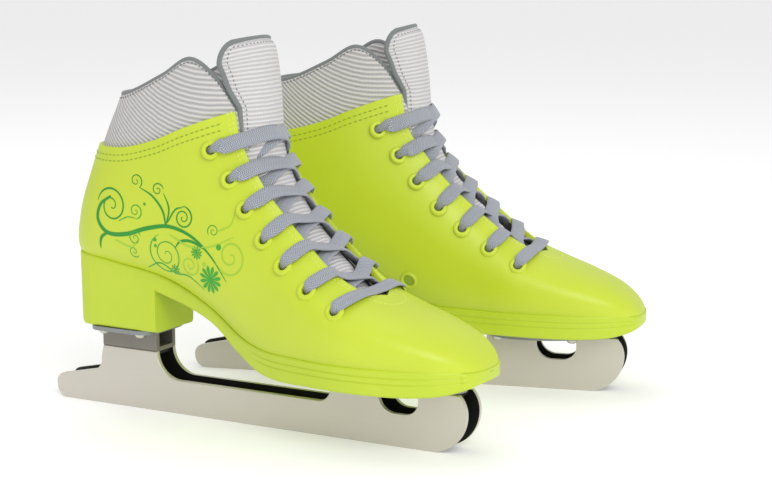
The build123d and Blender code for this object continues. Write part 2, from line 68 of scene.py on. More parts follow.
# ---------------------------------------------------------------- boot shell
# One wall of soft PVC, moulded in lime green from toe to ankle, with a satin gloss. Its top edge slants
# up to the front, and its throat is open between two facings, each with seven ringed lace holes.
# STATIONS are its sections from toe to shaft: top x and z, bottom x and z, half width, sideways offset.
STATIONS = np.array((
    (134.2, 45.5, 133.6, 41.5, 8.0, -1.5), (132.0, 49.2, 131.0, 39.8, 15.0, -1.8),
    (127.5, 54.0, 125.5, 38.7, 21.0, -2.2), (119.0, 59.8, 116.5, 38.2, 27.0, -3.0),
    (104.0, 66.3, 101.0, 38.0, 32.5, -4.2), (87.0, 72.6, 82.0, 38.0, 36.0, -5.5),
    (71.0, 80.0, 62.0, 38.0, 37.0, -6.0), (57.0, 91.5, 42.0, 38.0, 35.0, -6.0),
    (44.0, 104.5, 22.0, 39.5, 32.5, -5.0), (33.0, 116.5, 4.0, 46.0, 30.5, -3.5),
    (24.5, 128.5, -18.0, 60.0, 29.0, -2.0), (19.5, 140.0, -46.0, 72.0, 28.5, -1.0),
    (17.7, 150.0, -83.0, 77.5, 28.5, -0.3), (17.5, 160.0, -104.0, 82.5, 29.0, 0.0),
    (17.3, 169.0, -103.5, 104.0, 29.0, 0.0), (16.6, 178.0, -95.0, 128.0, 28.8, 0.0),
    (15.6, 187.0, -86.5, 148.5, 28.6, 0.0), (14.0, 196.0, -79.0, 166.0, 28.4, 0.0),
    (12.0, 206.0, -73.0, 186.0, 28.2, 0.0)))
WIDEST = 0.48
TOP_POWER = 2.3
BOTTOM_POWER = 3.0
STATION_STEPS = 40


def smooth_line(points, steps=10):
    """Smooth curve through points, with a number of samples for each span."""
    p = np.asarray(points, float)
    p = np.vstack([2 * p[0] - p[1], p, 2 * p[-1] - p[-2]])
    out = []
    for k in range(1, len(p) - 2):
        for t in np.linspace(0, 1, steps, endpoint=False):
            out.append(0.5 * (2 * p[k] + (p[k + 1] - p[k - 1]) * t
                              + (2 * p[k - 1] - 5 * p[k] + 4 * p[k + 1] - p[k + 2]) * t * t
                              + (3 * p[k] - p[k - 1] - 3 * p[k + 1] + p[k + 2]) * t ** 3))
    out.append(p[-2])
    return np.array(out)


SHELL_WALL = 2.6
SHELL_EDGE = smooth_line(((-110, 143), (-100, 143), (-66, 142.5), (-43, 147.5),
                          (-24, 155), (0, 163), (20, 166)))
THROAT_END = np.array((80.0, 76.0))
THROAT_RUN = np.array((-0.6877, 0.7260))
# Edges of the throat, outer and inner: distance up from its end, and sideways place.
GAP_OUTER = ((0, -5.5), (2, -11.5), (5, -15.5), (9, -18), (16, -20.5), (28, -22.3), (62, -20.5),
             (100, -20), (165, -26))
GAP_INNER = ((0, -5.5), (2, 0.5), (5, 4.5), (9, 7), (16, 9.5), (28, 12), (62, 15.5), (100, 20), (165, 26))
# Lace holes from the top, each a station and an angle up from the side.
EYELETS = ((13.14, 29.0), (11.47, 31.0), (10.3, 27.5), (9.2, 27.0), (8.15, 27.5), (7.1, 29.0), (6.05, 32.0))
LACE_HOLE_RADIUS = 2.4
SHELL_COLUMNS = 140
STATION_CURVE = smooth_line(STATIONS, STATION_STEPS)


def station_at(s):
    """Section line, half width and offset at a station number, whole or between two."""
    place = np.clip(np.asarray(s, float), 0, len(STATIONS) - 1) * STATION_STEPS
    return [np.interp(place, np.arange(len(STATION_CURVE)), column) for column in STATION_CURVE.T]


def form(s, angle, inset=0.0):
    """Points of the form at stations and angles (radians up from the inner side), drawn in by a depth."""
    tx, tz, bx, bz, half, centre = station_at(s)
    length = np.hypot(tx - bx, tz - bz)
    across, along = np.cos(angle), np.sin(angle)
    power = np.where(along > 0, TOP_POWER, BOTTOM_POWER)
    side = (half - inset) * np.abs(across) ** (2 / power) * np.sign(across)
    reach = np.where(along > 0, length * WIDEST, length * (1 - WIDEST)) - inset
    rise = length * (1 - WIDEST) + reach * np.abs(along) ** (2 / power) * np.sign(along)
    return np.stack([bx + (tx - bx) / length * rise, centre + side, bz + (tz - bz) / length * rise], -1)


def run_along(line):
    """Distance from a line's start to each of its points."""
    return np.concatenate([[0], np.cumsum(np.linalg.norm(np.diff(line, axis=0), axis=1))])


def ring(s, first, last, count, inset=0.0):
    """One section of the form between two angles, as evenly spaced points."""
    dense = form(s, np.linspace(first, last, 600), inset)
    run = run_along(dense)
    want = np.linspace(0, run[-1], count)
    return np.stack([np.interp(want, run, dense[:, k]) for k in range(3)], 1)


def side_angle(angle, side):
    """Angle on the inner (+1) or outer (-1) side of the foot, in radians."""
    return radians(angle if side > 0 else 180 - angle)


def facing_angle(s, side, clear=0.0):
    """Angle of the facing's edge at a station, on one side of the foot."""
    tx, tz, bx, bz, half, centre = station_at(s)
    angle = pi / 2
    for _ in range(6):
        spot = form(s, angle)
        along = (spot[0] - THROAT_END[0]) * THROAT_RUN[0] + (spot[2] - THROAT_END[1]) * THROAT_RUN[1]
        table = GAP_INNER if side > 0 else GAP_OUTER
        y = np.interp(along, [a for a, b in table], [b for a, b in table]) + side * clear
        ratio = np.clip((y - centre) / half, -1, 1)
        angle = float(np.arccos(np.sign(ratio) * abs(ratio) ** (TOP_POWER / 2)))
    return angle


def wall_grid(stations, columns, inset, clear=0.0):
    """Sections of a wall that is open at the throat, one row of evenly spaced points to a station."""
    rows = []
    for s in stations:
        first = facing_angle(s, 1, clear)
        last = -(2 * pi - facing_angle(s, -1, clear))
        rows.append(ring(s, first, last, columns, inset))
    return np.array(rows)


def height_over(points, edge):
    """How far points lie above an edge line in side view."""
    return points[..., 2] - np.interp(points[..., 0], edge[:, 0], edge[:, 1])


def cut_at_edge(stations, grid, edge):
    """For each column, the station where the wall meets an edge line."""
    over = height_over(grid, edge)
    cuts = []
    for column in range(grid.shape[1]):
        above = np.where(over[:, column] > 0)[0]
        above = above[above > len(stations) // 3]
        k = max(above[0], 1) if len(above) else len(stations) - 1
        a, b = over[k - 1, column], over[k, column]
        share = np.clip(-a / (b - a), 0, 1) if b > a else 1
        cuts.append(stations[k - 1] + (stations[k] - stations[k - 1]) * share)
    return np.array(cuts)


def column_point(stations, grid, column, s):
    """Point of one column of a grid at a station between its rows."""
    return np.array([np.interp(s, stations, grid[:, column, k]) for k in range(3)])


DENSE_S = np.concatenate([np.linspace(0.0, 5.2, 60), np.linspace(5.22, 6.4, 50), np.linspace(6.43, 18, 260)])
SHELL_GRID = wall_grid(DENSE_S, SHELL_COLUMNS, 0.0)
SHELL_CUT = cut_at_edge(DENSE_S, SHELL_GRID, SHELL_EDGE)


def shell_mesh():
    """Points of the shell's outer face, and its rows."""
    spread = np.concatenate([np.linspace(0, 5.2, 44), np.linspace(5.24, 6.2, 26)])
    tip = form(0.0, np.linspace(0, 2 * pi, 60)).mean(0) + (0.8, 0, 0)
    rows = [[tip] * SHELL_COLUMNS]
    for s in spread:
        rows.append([column_point(DENSE_S, SHELL_GRID, c, s) for c in range(SHELL_COLUMNS)])
    for v in np.linspace(0, 1, 84)[1:]:
        rows.append([column_point(DENSE_S, SHELL_GRID, c, 6.2 + (SHELL_CUT[c] - 6.2) * v)
                     for c in range(SHELL_COLUMNS)])
    return np.array(rows)


def grid_faces(rows, cols, wrap=False):
    """Quads of a grid of points stored row by row, closed round its columns if asked."""
    last = cols if wrap else cols - 1
    return [(r * cols + c, r * cols + (c + 1) % cols, (r + 1) * cols + (c + 1) % cols, (r + 1) * cols + c)
            for r in range(rows - 1) for c in range(last)]


def mesh_object(name, points, faces, side, material, uvs=None, merge=0.02):
    """Mesh of one skate from points in its own frame, with outward normals and smooth shading."""
    mesh = bpy.data.meshes.new(name)
    mesh.from_pydata(to_row(points, side).tolist(), [], faces)
    if uvs is not None:
        layer = mesh.uv_layers.new(name="cloth")
        spots = np.zeros(len(mesh.loops), np.int32)
        mesh.loops.foreach_get("vertex_index", spots)
        layer.data.foreach_set("uv", np.asarray(uvs, np.float32)[spots].ravel())
    work = bmesh.new()
    work.from_mesh(mesh)
    if merge:
        bmesh.ops.remove_doubles(work, verts=work.verts, dist=merge * 0.001)
    bmesh.ops.recalc_face_normals(work, faces=work.faces)
    work.to_mesh(mesh)
    work.free()
    mesh.shade_smooth()
    mesh.materials.append(material)
    piece = bpy.data.objects.new(name, mesh)
    bpy.context.collection.objects.link(piece)
    return piece


def hold(piece, word, body):
    """Rides a piece on its body. The tongue's pieces are only baked in place and ride on nothing."""
    if body == "tongue":
        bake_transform(piece)
    else:
        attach(piece, word + "_" + body)


def pair(name, points, faces, material, body="skate", nodes=(), uvs=None, finish=None, merge=0.02):
    """The same piece for both skates, riding on its body and standing for its CAD nodes."""
    made = []
    for side, word in SIDES:
        piece = mesh_object(word + "_" + name, points, faces, side, material, uvs, merge)
        if finish:
            finish(piece, side)
        hold(piece, word, body)
        if nodes:
            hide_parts(*[word + "_" + node for node in nodes])
        made.append(piece)
    return made


def bake(piece):
    """Turns the piece's modifiers into plain mesh."""
    graph = bpy.context.evaluated_depsgraph_get()
    mesh = bpy.data.meshes.new_from_object(piece.evaluated_get(graph), depsgraph=graph)
    piece.modifiers.clear()
    piece.data = mesh


def hole_cutter(side):
    """Pins through the lace holes."""
    work = bmesh.new()
    for station, angle in EYELETS:
        for flank in (-1, 1):
            turn = side_angle(angle, flank)
            low, high = to_row([form(station, turn, 6), form(station, turn, -3)], side)
            aim = Vector(high - low).to_track_quat("Z", "Y").to_matrix().to_4x4()
            spot = Matrix.Translation(Vector((low + high) / 2)) @ aim
            bmesh.ops.create_cone(work, cap_ends=True, segments=20, radius1=LACE_HOLE_RADIUS * 0.001,
                                  radius2=LACE_HOLE_RADIUS * 0.001, depth=0.009, matrix=spot)
    mesh = bpy.data.meshes.new("lace hole pins")
    work.to_mesh(mesh)
    work.free()
    cutter = bpy.data.objects.new("lace hole pins", mesh)
    bpy.context.collection.objects.link(cutter)
    return cutter


def thicken(piece, side):
    """Gives the shell its wall and lace holes, and rounds its edges."""
    wall = piece.modifiers.new("wall", "SOLIDIFY")
    wall.thickness = SHELL_WALL * 0.001
    wall.offset = -1
    wall.use_even_offset = True
    edge = piece.modifiers.new("edge", "BEVEL")
    edge.width = 0.0009
    edge.segments = 3
    edge.angle_limit = radians(55)
    bake(piece)
    cutter = hole_cutter(side)
    holes = piece.modifiers.new("holes", "BOOLEAN")
    holes.object = cutter
    holes.solver = "EXACT"
    bake(piece)
    bpy.data.objects.remove(cutter)


def colour(text):
    """Linear colour from a hex code."""
    parts = [int(text[k:k + 2], 16) / 255 for k in (1, 3, 5)]
    return [c / 12.92 if c <= 0.04045 else ((c + 0.055) / 1.055) ** 2.4 for c in parts] + [1.0]


def add_node(tree, kind, settings=None, inputs=None):
    """Adds a node with its settings, and sets or links its inputs."""
    node = tree.nodes.new(kind)
    for key, value in (settings or {}).items():
        setattr(node, key, value)
    for key, value in (inputs or {}).items():
        if isinstance(value, bpy.types.NodeSocket):
            tree.links.new(value, node.inputs[key])
        else:
            node.inputs[key].default_value = value
    return node


def material(name, base, **settings):
    """Principled finish with constant settings. Returns the material, its node tree and its shader."""
    made = bpy.data.materials.new(name)
    made.use_nodes = True
    shader = made.node_tree.nodes["Principled BSDF"]
    shader.inputs["Base Color"].default_value = colour(base)
    for key, value in settings.items():
        shader.inputs[key.replace("_", " ").title().replace("Ior", "IOR")].default_value = value
    return made, made.node_tree, shader


def shade(tree, shader, share, first, second):
    """Mixes two colours of a finish by a share."""
    mix = add_node(tree, "ShaderNodeMix", {"data_type": "RGBA"},
                   {"Factor": share, "A": colour(first), "B": colour(second)})
    tree.links.new(mix.outputs["Result"], shader.inputs["Base Color"])


def emboss(tree, shader, height, strength, depth):
    """Raises a pattern of a finish, by a depth in millimetres."""
    bump = add_node(tree, "ShaderNodeBump", None,
                    {"Height": height, "Strength": strength, "Distance": depth * 0.001})
    tree.links.new(bump.outputs["Normal"], shader.inputs["Normal"])


def moulded_pvc(name, base, dark):
    """Soft moulded PVC: satin gloss with a faint uneven skin and slight darkening in patches."""
    made, tree, shader = material(name, base, roughness=0.42, coat_weight=0.12, coat_roughness=0.35, ior=1.5)
    spot = add_node(tree, "ShaderNodeTexCoord")
    cloud = add_node(tree, "ShaderNodeTexNoise", None,
                     {"Vector": spot.outputs["Object"], "Scale": 26.0, "Detail": 3.0})
    shade(tree, shader, cloud.outputs["Fac"], base, dark)
    grain = add_node(tree, "ShaderNodeTexNoise", None,
                     {"Vector": spot.outputs["Object"], "Scale": 420.0, "Detail": 4.0})
    emboss(tree, shader, grain.outputs["Fac"], 0.16, 0.4)
    return made


LIME = moulded_pvc("lime moulded PVC", "#C9DA36", "#BED12A")
shell_rows = shell_mesh()
pair("moulded_shell", shell_rows.reshape(-1, 3), grid_faces(len(shell_rows), SHELL_COLUMNS), LIME,
     nodes=("boot_shell",), finish=thicken, merge=0.05)

# ---------------------------------------------------------------- lace hole rings
# A low ring moulded on the shell round each lace hole. A section is its radius and height from the
# outside in, turned round the hole.
RING_SIDES = 28
RING_SECTION = ((5.0, -0.6), (4.75, 0.605), (4.1, 1.1), (3.0, 1.1), (2.45, 0.77), (2.35, -1.0))


def unit(vector):
    """The same direction at length one."""
    return vector / np.linalg.norm(vector)


def lace_ring(station, angle):
    """Raised moulded ring round a lace hole, as rows of points round its round section."""
    centre = form(station, angle, -0.2)
    out = unit(form(station, angle, -4) - centre)
    along = form(station + 0.1, angle) - form(station - 0.1, angle)
    along = unit(along - out * np.dot(along, out))
    across = np.cross(out, along)
    rows = []
    for turn in np.linspace(0, 2 * pi, RING_SIDES, endpoint=False):
        arm = along * cos(turn) + across * sin(turn)
        rows += [centre + arm * r + out * h for r, h in RING_SECTION]
    return np.array(rows)


ring_points, ring_faces = [], []
for station, angle in EYELETS:
    for flank in (-1, 1):
        first = len(ring_points)
        ring_points.extend(lace_ring(station, side_angle(angle, flank)))
        for n in range(RING_SIDES):
            for m in range(len(RING_SECTION) - 1):
                corners = ((n, m), (n + 1, m), (n + 1, m + 1), (n, m + 1))
                ring_faces.append(tuple(first + (k % RING_SIDES) * len(RING_SECTION) + a for k, a in corners))
pair("lace_hole_rings", ring_points, ring_faces, LIME)

# ---------------------------------------------------------------- moulded stitching
# Sham seams, moulded as raised dashes: two rows below the shell's top edge, two beside each facing and one
# round the throat's end. One node group cuts any line into equal stitches and lays a rounded dash on each.
# Satin dashes of the shell's PVC, coloured with painted light and shade: a lit pale lime beside the facings,
# a shaded olive below the top edge.
LIME_PAINTED_LIT = material("lime painted lit", "#D9E672", roughness=0.5)[0]
LIME_PAINTED_IN_SHADE = material("lime painted in shade", "#93AB2A", roughness=0.6)[0]


def stitch_tree():
    """Geometry node group that replaces a line by a row of stitches."""
    tree = bpy.data.node_groups.new("row of stitches", "GeometryNodeTree")
    tree.interface.new_socket("Geometry", in_out="INPUT", socket_type="NodeSocketGeometry")
    tree.interface.new_socket("Geometry", in_out="OUTPUT", socket_type="NodeSocketGeometry")
    for label, kind in (("Pitch", "NodeSocketFloat"), ("Length", "NodeSocketFloat"),
                        ("Thickness", "NodeSocketFloat"), ("Thread", "NodeSocketMaterial")):
        tree.interface.new_socket(label, in_out="INPUT", socket_type=kind)
    start = add_node(tree, "NodeGroupInput")
    end = add_node(tree, "NodeGroupOutput")
    line = add_node(tree, "GeometryNodeMeshToCurve", None, {"Mesh": start.outputs["Geometry"]})
    marks = add_node(tree, "GeometryNodeCurveToPoints", {"mode": "LENGTH"},
                     {"Curve": line.outputs["Curve"], "Length": start.outputs["Pitch"]})
    half = add_node(tree, "ShaderNodeMath", {"operation": "MULTIPLY"}, {0: start.outputs["Length"], 1: 0.5})
    ball = add_node(tree, "GeometryNodeMeshUVSphere", None, {"Segments": 8, "Rings": 6, "Radius": 1.0})
    thin = start.outputs["Thickness"]
    size = add_node(tree, "ShaderNodeCombineXYZ", None, {"X": thin, "Y": thin, "Z": half.outputs[0]})
    thread = add_node(tree, "GeometryNodeTransform", None,
                      {"Geometry": ball.outputs["Mesh"], "Scale": size.outputs[0]})
    laid = add_node(tree, "GeometryNodeInstanceOnPoints", None,
                    {"Points": marks.outputs["Points"], "Instance": thread.outputs["Geometry"],
                     "Rotation": marks.outputs["Rotation"]})
    real = add_node(tree, "GeometryNodeRealizeInstances", None, {"Geometry": laid.outputs["Instances"]})
    dyed = add_node(tree, "GeometryNodeSetMaterial", None,
                    {"Geometry": real.outputs["Geometry"], "Material": start.outputs["Thread"]})
    tree.links.new(dyed.outputs["Geometry"], end.inputs["Geometry"])
    return tree


STITCHES = stitch_tree()


def sew(name, lines, pitch, length, thickness, thread, body="skate"):
    """Rows of stitches along lines of points, for both skates."""
    points = np.vstack(lines)
    ends = np.cumsum([0] + [len(line) for line in lines])
    for side, word in SIDES:
        mesh = bpy.data.meshes.new(word + "_" + name)
        edges = [(k, k + 1) for first, last in zip(ends[:-1], ends[1:]) for k in range(first, last - 1)]
        mesh.from_pydata(to_row(points, side).tolist(), edges, [])
        piece = bpy.data.objects.new(word + "_" + name, mesh)
        bpy.context.collection.objects.link(piece)
        sewing = piece.modifiers.new("stitches", "NODES")
        sewing.node_group = STITCHES
        values = {"Pitch": pitch * 0.001, "Length": length * 0.001, "Thickness": thickness * 0.001,
                  "Thread": thread}
        for item in STITCHES.interface.items_tree:
            if item.item_type == "SOCKET" and item.in_out == "INPUT" and item.name in values:
                sewing[item.identifier] = values[item.name]
        bake(piece)
        piece.data.shade_smooth()
        hold(piece, word, body)


def below_top(distance, margin):
    """Line on the shell at a distance below its top edge."""
    line = []
    for c in range(SHELL_COLUMNS):
        path = SHELL_GRID[:, c]
        run = run_along(path)
        s = np.interp(np.interp(SHELL_CUT[c], DENSE_S, run) - distance, run, DENSE_S)
        line.append(column_point(DENSE_S, SHELL_GRID, c, s))
    line = np.array(line)
    run = run_along(line)
    return line[(run > margin) & (run < run[-1] - margin)]


def beside_facing(distance, flank, low, high):
    """Line on the shell at a distance from the edge of one facing."""
    line = []
    for k, s in enumerate(DENSE_S):
        if low < s < high:
            row = SHELL_GRID[k] if flank > 0 else SHELL_GRID[k][::-1]
            run = run_along(row)
            line.append([np.interp(distance, run, row[:, a]) for a in range(3)])
    return np.array(line)


seams = [below_top(4.2, 9), below_top(7.4, 9)]
edges = []
for flank in (-1, 1):
    edges += [beside_facing(1.9, flank, 5.7, 14.3), beside_facing(4.0, flank, 5.6, 14.3)]
swing = np.linspace(radians(-100), radians(100), 30)
edges.append(np.array([form(5.62 - 0.66 * cos(t), pi / 2 + radians(18) * sin(t)) for t in swing]))
# Painted shade and light: the dashes below the top edge take the shaded olive, those beside the facings the
# lit pale lime.
sew("top_edge_stitches", seams, 3.0, 2.2, 0.34, LIME_PAINTED_IN_SHADE)
sew("facing_stitches", edges, 2.6, 1.9, 0.28, LIME_PAINTED_LIT)

# ---------------------------------------------------------------- printed scroll
# Thin green ink, printed on the outer side of each heel: one long stem, curling tendrils, leaves and
# daisies, with a paler print behind them.
# Screen-print inks: flat colour with the same satin skin as the shell.
INK = material("green print ink", "#1F8F22", roughness=0.4)[0]
LEAF_INK = material("leaf green print ink", "#35A528", roughness=0.4)[0]
GHOST_INK = material("pale green print ink", "#A3CC2E", roughness=0.4)[0]
TABLE_S = np.linspace(0.6, 18, 900)


def on_side(x, z, side, lift=0.0):
    """Point of the form's side surface that is seen at x and z in side view, lifted off it a little."""
    tx, tz, bx, bz, half, centre = station_at(TABLE_S)
    length = np.hypot(tx - bx, tz - bz)
    ux, uz = (tx - bx) / length, (tz - bz) / length
    off = (x - bx) * uz - (z - bz) * ux
    rise = (x - bx) * ux + (z - bz) * uz
    inside = (rise > -2) & (rise < length + 2)
    k = int(np.argmin(np.where(inside, np.abs(off), np.inf)))
    up = rise[k] - length[k] * (1 - WIDEST)
    reach = (length[k] * WIDEST if up > 0 else length[k] * (1 - WIDEST)) + lift
    power = TOP_POWER if up > 0 else BOTTOM_POWER
    share = min(abs(up) / reach, 0.999)
    return np.array([x, centre[k] + side * (half[k] + lift) * (1 - share ** power) ** (1 / power), z])


def tangents(line):
    """Directions of length one along a line."""
    steps = np.gradient(line, axis=0)
    return steps / np.linalg.norm(steps, axis=1)[:, None]


def ink(strokes, name, finish):
    """Ribbons of ink on the outer side. A stroke is a line in side view and its width along it."""
    points, faces = [], []
    for line, widths in strokes:
        first = len(points)
        for spot, along, width in zip(line, tangents(line), widths):
            for edge in (-1, 1):
                x = spot[0] - along[1] * edge * width / 2
                z = spot[1] + along[0] * edge * width / 2
                points.append(on_side(x, z, -1, 0.10))
        faces += [(first + 2 * k, first + 2 * k + 1, first + 2 * k + 3, first + 2 * k + 2)
                  for k in range(len(line) - 1)]
    pair(name, points, faces, finish, merge=0)


def stem(points, thick, thin=0.25, steps=9):
    """Tapering stroke through points: thin, thick at its middle, thin."""
    line = smooth_line(points, steps)
    t = np.linspace(0, 1, len(line))
    return line, thin + (thick - thin) * np.sin(pi * np.clip(t * 0.86 + 0.14, 0, 1)) ** 0.8


def curl(x, z, size, start, turns, thick, lean=1):
    """Spiral tendril that winds in to its own middle."""
    t = np.linspace(0, 1, int(26 * turns) + 8)
    radius = size * (1 - t) ** 0.85 + size * 0.06
    angle = radians(start) + lean * 2 * pi * turns * t
    line = np.stack([x + radius * np.cos(angle), z + radius * np.sin(angle)], 1)
    return line, thick * (0.45 + 0.55 * (1 - t)) * np.clip(t * 12 + 0.25, 0, 1)


def dot(x, z, radius):
    """Round dot."""
    t = np.linspace(-1, 1, 9)
    line = np.stack([x + radius * t, np.full(9, z)], 1)
    return line, 2 * radius * np.sqrt(np.clip(1 - t * t, 0.02, 1))


def daisy(x, z, size, petals):
    """Flower of narrow petals round a dot."""
    strokes = [dot(x, z, size * 0.2)]
    for k in range(petals):
        turn = 2 * pi * k / petals + 0.2
        t = np.linspace(0.2, 1, 7)
        line = np.stack([x + size * t * cos(turn), z + size * t * sin(turn)], 1)
        strokes.append((line, size * np.array((0.10, 0.14, 0.2, 0.25, 0.28, 0.24, 0.06))))
    return strokes


ink([stem(((-71, 117), (-78.5, 112), (-80.5, 104), (-74, 97.5), (-62, 97.8), (-48, 102), (-34, 104),
           (-20, 100), (-8, 91), (2, 79)), 2.3),
     curl(-70.5, 112.0, 9.5, 168, 1.75, 1.1, -1),
     stem(((-74, 97.6), (-79, 94.5), (-81.5, 88)), 1.7),
     stem(((-36, 104), (-38, 112), (-44, 119), (-52, 123)), 1.2),
     stem(((-36, 104), (-34, 113), (-37, 121)), 1.0), curl(-40.6, 122.5, 3.4, 10, 1.4, 0.7),
     curl(-54, 126.2, 3.8, 300, 1.4, 0.7), stem(((-35, 106), (-30, 113), (-25, 114.5)), 0.9),
     curl(-25.2, 109.2, 5.6, 95, 1.9, 0.95, -1),
     stem(((-12, 94.5), (-20, 97.5), (-27, 97), (-31, 93)), 1.5)], "print_stems", INK)
ink([curl(-37.0, 89.0, 10.5, 110, 2.1, 0.8), curl(-56.5, 96.0, 4.0, 20, 1.6, 0.7),
     curl(-58.5, 88.6, 3.2, 330, 1.4, 0.6, -1), curl(-55.0, 110.5, 4.0, 270, 1.5, 0.7),
     stem(((-66, 104.5), (-60, 107), (-55, 106.6)), 0.6), curl(-6.5, 104.0, 3.4, 220, 1.5, 0.6, -1),
     stem(((-52, 80.5), (-42, 84), (-33, 79.5), (-24, 79), (-14, 73)), 0.9),
     dot(-43.5, 96.5, 1.1), dot(-43.5, 93.2, 0.9), dot(-3.0, 96.2, 1.6), dot(-49.0, 114.5, 0.8)]
    + daisy(-8.8, 79.0, 7.2, 12) + daisy(-17.0, 92.0, 3.6, 11) + daisy(-32.5, 81.5, 3.0, 9),
    "print_flowers", LEAF_INK)
ink([curl(4.5, 92.0, 9.5, 200, 1.7, 1.2), curl(-22.0, 85.0, 5.6, 30, 1.7, 0.9, -1),
     stem(((-70, 94), (-60, 91), (-55, 95)), 1.0), stem(((-34, 100), (-22, 95), (-8, 96), (6, 102)), 1.1),
     stem(((-4, 104), (4, 108), (6, 115)), 0.9), dot(-12.5, 86.5, 1.2)], "print_ghosts", GHOST_INK)

# ---------------------------------------------------------------- vent
# Small raised ring moulded in the inner side of each arch; its hole is a flat disc of painted shade.
VENT_SECTION = ((5.2, -1.5), (5.0, 0.5), (4.4, 0.9), (3.6, 0.8), (3.2, 0.1), (3.1, -1.2))
VENT_HOLE = 3.2
middle = on_side(7.0, 60.5, 1)
out = unit(np.cross(on_side(7.0, 63.5, 1) - on_side(7.0, 57.5, 1),
                    on_side(10.0, 60.5, 1) - on_side(4.0, 60.5, 1)))
along = unit(np.cross((0, 0, 1.0), out))
up = np.cross(out, along)
vent_points = [middle + out * h + (along * cos(t) + up * sin(t)) * r
               for r, h in VENT_SECTION for t in np.linspace(0, 2 * pi, 32, endpoint=False)]
pair("vent_ring", vent_points, grid_faces(len(VENT_SECTION), 32, True), LIME)
# Painted shade: the hole is a flat disc in the shaded olive lime, standing in for the shade inside it.
centre = middle + out * 0.12
disc = [centre] + [centre + (along * cos(t) + up * sin(t)) * VENT_HOLE
                   for t in np.linspace(0, 2 * pi, 24, endpoint=False)]
pair("vent_hole_shade_disc", disc, [(0, 1 + k, 1 + (k + 1) % 24) for k in range(24)], LIME_PAINTED_IN_SHADE)

# ---------------------------------------------------------------- outsole
# Sole and tapered heel block, moulded in one piece of slightly deeper lime PVC. Its top edge is a thin ledge
# on the shell, and a band with two fine grooves runs round the forefoot.
LIME_SOLE = moulded_pvc("lime sole PVC", "#C4D732", "#B8CE26")
SOLE_TOP = smooth_line(((-108, 85.5), (-66, 79.3), (-47, 75.5), (-19, 64), (2, 51), (20, 46.5), (40, 46),
                        (108, 46), (122, 45.6), (130, 44.8), (138, 44)))
SOLE_LOW = smooth_line(((-51, 66.5), (-18, 55), (2, 40.5), (24, 32.2), (60, 32.2), (105, 32.2),
                        (125, 34.5), (138, 40)))
HEEL_BACK = ((-105.4, 82.0), (-104.6, 70.0), (-103.2, 56.0), (-102.0, 47.0), (-100.8, 44.9), (-98.0, 44.5),
             (-51.6, 44.5))


def ledge_line(side):
    """The sole's outline seen from above, just proud of the shell all round."""
    places = np.linspace(-97.0, 128.0, 120)
    line = [on_side(x, np.interp(x, SOLE_TOP[:, 0], SOLE_TOP[:, 1]), side, 0.35)[[0, 1]] for x in places]
    line = np.array(line)
    kernel = np.ones(7) / 7
    line[3:-3, 1] = np.convolve(line[:, 1], kernel, "valid")
    ends = []
    for (x, y), tip, middle in ((line[0], -105.6, 0.0), (line[-1], 135.2, -1.6)):
        t = np.linspace(0, pi / 2, 24)[1:]
        ends.append(np.stack([x + (tip - x) * np.sin(t), middle + (y - middle) * np.cos(t)], 1))
    return np.vstack([ends[0][::-1], line, ends[1]])


SOLE_OUTER = ledge_line(-1)
SOLE_INNER = ledge_line(1)


def sole_section(x, z_low):
    """Closed section of the sole at one place along it."""
    z_top = np.interp(x, SOLE_TOP[:, 0], SOLE_TOP[:, 1])
    outer = np.interp(x, SOLE_OUTER[:, 0], SOLE_OUTER[:, 1])
    inner = np.interp(x, SOLE_INNER[:, 0], SOLE_INNER[:, 1])
    height = z_top - z_low
    deep = 0.45 * np.clip((x - 2) / 20, 0, 1)
    wall = [(z_top - 0.2, 5.0), (z_top, 2.2), (z_top - 0.1, 0.9), (z_top - 0.6, 0.25), (z_top - 1.4, 0.0)]
    for drop in (0.30, 0.52):
        z = z_top - height * drop
        wall += [(z + 0.5, 0.0), (z, deep), (z - 0.5, 0.0)]
    wall += [(z_low + 1.9, 0.0), (z_low + 0.9, 0.3), (z_low + 0.25, 0.95), (z_low, 2.0)]
    sides = []
    for edge in (outer, inner):
        flank = []
        for z, depth in wall:
            y = edge * (1 - 0.05 * np.clip((z_top - z) / 38, 0, 1))
            middle = (outer + inner) / 2
            depth = min(depth, abs(y - middle) * 0.6)
            flank.append((x, y - np.sign(y - middle) * depth, z))
        sides.append(flank)
    return sides[0] + sides[1][::-1]


def sole_mesh():
    """Sections of the sole from heel to toe, closed at both ends."""
    ease = 1 - np.cos(np.linspace(0, pi / 2, 34))
    heel = -105.55 + 26 * ease
    toe = (135.15 - 33 * ease)[::-1]
    places = list(heel) + list(np.linspace(-78, -51.6, 10)) + list(np.linspace(-51.5, 100, 70)) + list(toe)
    rows = []
    for x in places:
        table = np.array(HEEL_BACK) if x < -51.55 else SOLE_LOW
        rows.append(sole_section(x, np.interp(x, table[:, 0], table[:, 1])))
    return np.array(rows)


def tube_faces(rows, sides):
    """Faces of a closed section carried along a line, shut at both ends."""
    ends = [tuple(range(sides)), tuple(range((rows - 1) * sides, rows * sides))]
    return grid_faces(rows, sides, True) + ends


def sole_edges(piece, side):
    """Keeps the heel's front corner and the underside crisp."""
    work = bmesh.new()
    work.from_mesh(piece.data)
    for edge in work.edges:
        edge.smooth = not (len(edge.link_faces) == 2 and edge.calc_face_angle() > radians(50))
    work.to_mesh(piece.data)
    work.free()
    crisp = piece.modifiers.new("crisp", "WEIGHTED_NORMAL")
    crisp.keep_sharp = True
    bake(piece)


sole_rows = sole_mesh()
pair("sole_and_heel", sole_rows.reshape(-1, 3), tube_faces(*sole_rows.shape[:2]), LIME_SOLE,
     nodes=("outsole",), finish=sole_edges)

